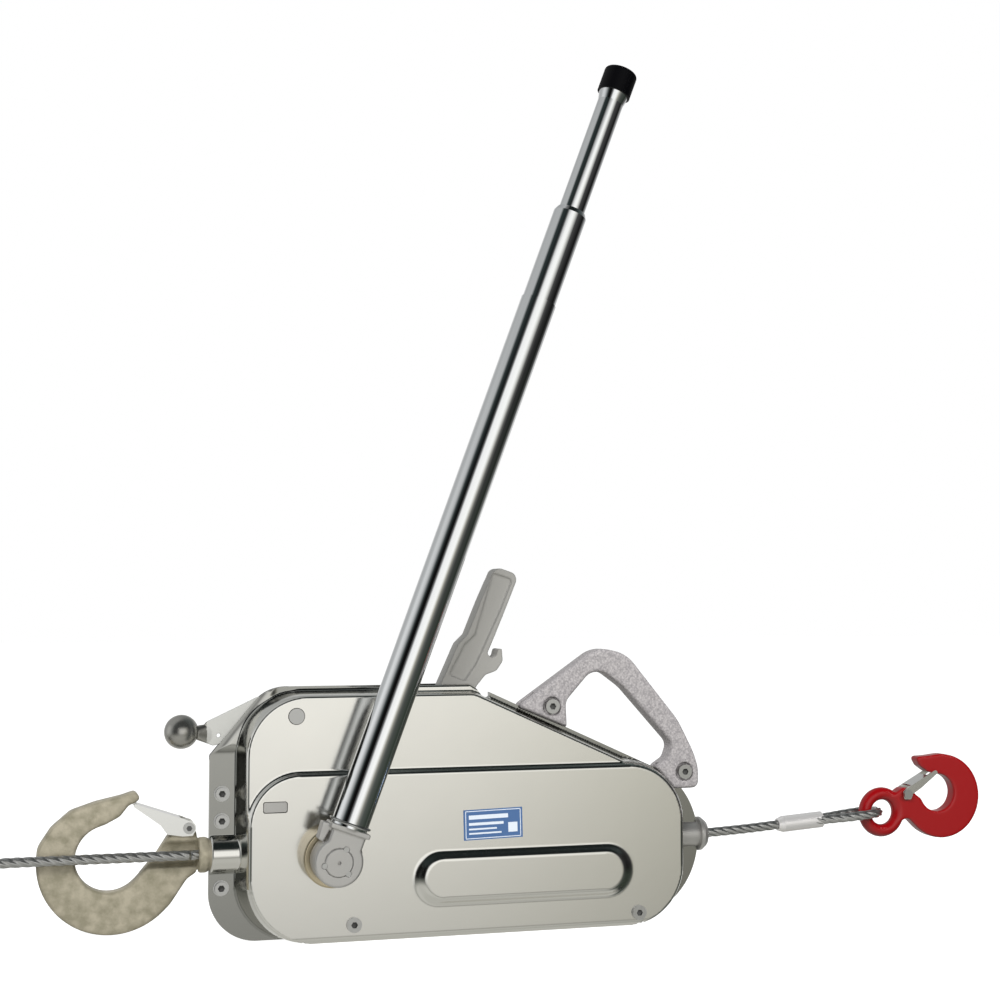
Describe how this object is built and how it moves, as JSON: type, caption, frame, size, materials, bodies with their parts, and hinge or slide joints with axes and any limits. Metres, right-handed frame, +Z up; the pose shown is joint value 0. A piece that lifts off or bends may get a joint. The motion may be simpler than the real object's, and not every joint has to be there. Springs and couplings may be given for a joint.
{
  "type": "come along winch",
  "caption": "Hand-lever wire rope puller: pressed steel casing, telescopic lever, reverse and release levers, swivel anchor hook, rope with load hook.",
  "frame": {"origin": "on the floor under the middle of the casing, in the parting plane of its two halves", "axes": "+X along the rope towards the load hook, -Y towards the operator's side with the lever, +Z up"},
  "size_m": [1.0418, 0.2002, 0.7335],
  "materials": {
    "casing_zinc": "bright zinc-plated pressed steel",
    "handle_zinc": "bright zinc-plated tube",
    "fastener_steel": "zinc-plated fasteners",
    "hub_brass": "turned bronze bush",
    "lever_steel": "satin forged and zinc-plated steel",
    "grip_rubber": "black moulded cap",
    "carry_alloy": "granular cast aluminium",
    "cast_lever": "light cast metal",
    "hook_steel": "matte yellowish-grey forging",
    "latch_zinc": "bright zinc-plated sheet",
    "hook_red": "gloss red paint",
    "rope_steel": "stranded steel wire rope",
    "ferrule_alloy": "pressed aluminium ferrule",
    "rope_bundle": null,
    "inner_steel": "machined steel, greased",
    "ball_steel": "polished ball",
    "label_blue": "blue printed plate, text left out"
  },
  "bodies": {
    "casing": {"front_shell": "casing_zinc", "rear_shell": "casing_zinc", "shell_tie_bar": "inner_steel", "flange_bolts": "fastener_steel", "flange_nuts": "fastener_steel", "low_screws": "fastener_steel", "low_nuts": "fastener_steel", "spacer_tubes": "inner_steel", "rope_nose_guide": "lever_steel", "jaw_guide_rails": "inner_steel", "front_shaft_bush": "hub_brass", "rear_shaft_bush": "hub_brass", "reverse_pivot_pin": "inner_steel", "release_pivot_pin": "fastener_steel", "label_plate": "label_blue", "carrying_handle": "carry_alloy", "carrying_handle_bolts": "fastener_steel", "carrying_handle_nuts": "fastener_steel", "rope_in_casing": "rope_steel", "rope_tail": "rope_steel", "rope_coil": "rope_bundle", "rope_stub": "rope_steel", "rope_ferrule": "ferrule_alloy", "rope_eye_loop": "rope_steel"},
    "lever": {"crank_front_half": "lever_steel", "crank_rear_half": "inner_steel", "crank_pins": "inner_steel", "shear_pins": "fastener_steel", "forward_lever": "lever_steel", "handle_outer_tube": "handle_zinc", "handle_guide_collar": "handle_zinc", "handle_clip_ring": "fastener_steel"},
    "handle_extension": {"handle_inner_tube": "handle_zinc", "handle_stop_ring": "inner_steel", "handle_end_cap": "grip_rubber"},
    "front_rod": {"front_connecting_rod": "inner_steel"},
    "rear_rod": {"rear_connecting_rod": "inner_steel"},
    "front_jaws": {"front_jaw_block": "inner_steel", "front_upper_jaw": "inner_steel", "front_lower_jaw": "inner_steel", "front_jaw_pins": "inner_steel"},
    "rear_jaws": {"rear_jaw_block": "inner_steel", "rear_upper_jaw": "inner_steel", "rear_lower_jaw": "inner_steel", "rear_jaw_pins": "inner_steel"},
    "reverse": {"reverse_lever": "cast_lever"},
    "release": {"release_lever": "cast_lever", "release_lever_ball": "ball_steel"},
    "release_slider": {"release_bar": "inner_steel"},
    "anchor": {"anchor_hook": "hook_steel", "anchor_hook_ring": "inner_steel", "anchor_latch_pin": "fastener_steel"},
    "anchor_gate": {"anchor_latch": "latch_zinc"},
    "load": {"load_hook": "hook_red", "load_latch_pin": "fastener_steel"},
    "load_gate": {"load_latch": "latch_zinc"}
  },
  "joints": [
    {"name": "forward_lever_hinge", "type": "hinge", "parent": "casing", "child": "lever", "pos_m": [-0.12, 0, 0.071], "axis": [0, 1, 0], "range_deg": [-55, 15]},
    {"name": "handle_telescope", "type": "slide", "parent": "lever", "child": "handle_extension", "axis": [0.3469, 0, 0.9379], "range_m": [-0.1, 0]},
    {"name": "front_rod_hinge", "type": "hinge", "parent": "lever", "child": "front_rod", "pos_m": [-0.10959, 0, 0.09914], "axis": [0, 1, 0], "range_deg": [-15, 55]},
    {"name": "rear_rod_hinge", "type": "hinge", "parent": "lever", "child": "rear_rod", "pos_m": [-0.13041, 0, 0.04286], "axis": [0, 1, 0], "range_deg": [-15, 55]},
    {"name": "front_jaw_slide", "type": "slide", "parent": "casing", "child": "front_jaws", "axis": [1, 0, 0], "range_m": [-0.02705, 0.00738]},
    {"name": "rear_jaw_slide", "type": "slide", "parent": "casing", "child": "rear_jaws", "axis": [1, 0, 0], "range_m": [-0.00738, 0.02705]},
    {"name": "reverse_lever_hinge", "type": "hinge", "parent": "casing", "child": "reverse", "pos_m": [-0.03, 0, 0.15], "axis": [0, 1, 0], "range_deg": [-24.76, 6.76]},
    {"name": "release_lever_hinge", "type": "hinge", "parent": "casing", "child": "release", "pos_m": [-0.147, 0, 0.183], "axis": [0, 1, 0], "range_deg": [0, 20]},
    {"name": "release_bar_slide", "type": "slide", "parent": "casing", "child": "release_slider", "axis": [1, 0, 0], "range_m": [-0.00891, 0]},
    {"name": "anchor_hook_swivel", "type": "hinge", "parent": "casing", "child": "anchor", "pos_m": [-0.2, 0, 0.071], "axis": [1, 0, 0], "range_deg": [-20, 20]},
    {"name": "anchor_latch_hinge", "type": "hinge", "parent": "anchor", "child": "anchor_gate", "pos_m": [-0.2291, 0, 0.0919], "axis": [0, 1, 0], "range_deg": [-40, 0], "stiffness_Nm_per_rad": 0.1, "springref_deg": 20.05},
    {"name": "load_hook_swing", "type": "hinge", "parent": "casing", "child": "load", "pos_m": [0.3926, 0, 0.084], "axis": [0, 1, 0], "range_deg": [-40, 40]},
    {"name": "load_latch_hinge", "type": "hinge", "parent": "load", "child": "load_gate", "pos_m": [0.4203, 0, 0.0994], "axis": [0, 1, 0], "range_deg": [0, 35], "stiffness_Nm_per_rad": 0.06, "springref_deg": -20.05}
  ],
  "couplings": [
    {"joint": "front_rod_hinge", "follows": "forward_lever_hinge", "ratio": -1},
    {"joint": "rear_rod_hinge", "follows": "forward_lever_hinge", "ratio": -1},
    {"joint": "front_jaw_slide", "follows": "forward_lever_hinge", "m_per_rad": 0.02817},
    {"joint": "rear_jaw_slide", "follows": "forward_lever_hinge", "m_per_rad": -0.02817},
    {"joint": "reverse_lever_hinge", "follows": "forward_lever_hinge", "ratio": 0.45},
    {"joint": "release_bar_slide", "follows": "release_lever_hinge", "m_per_rad": -0.0255}
  ]
}
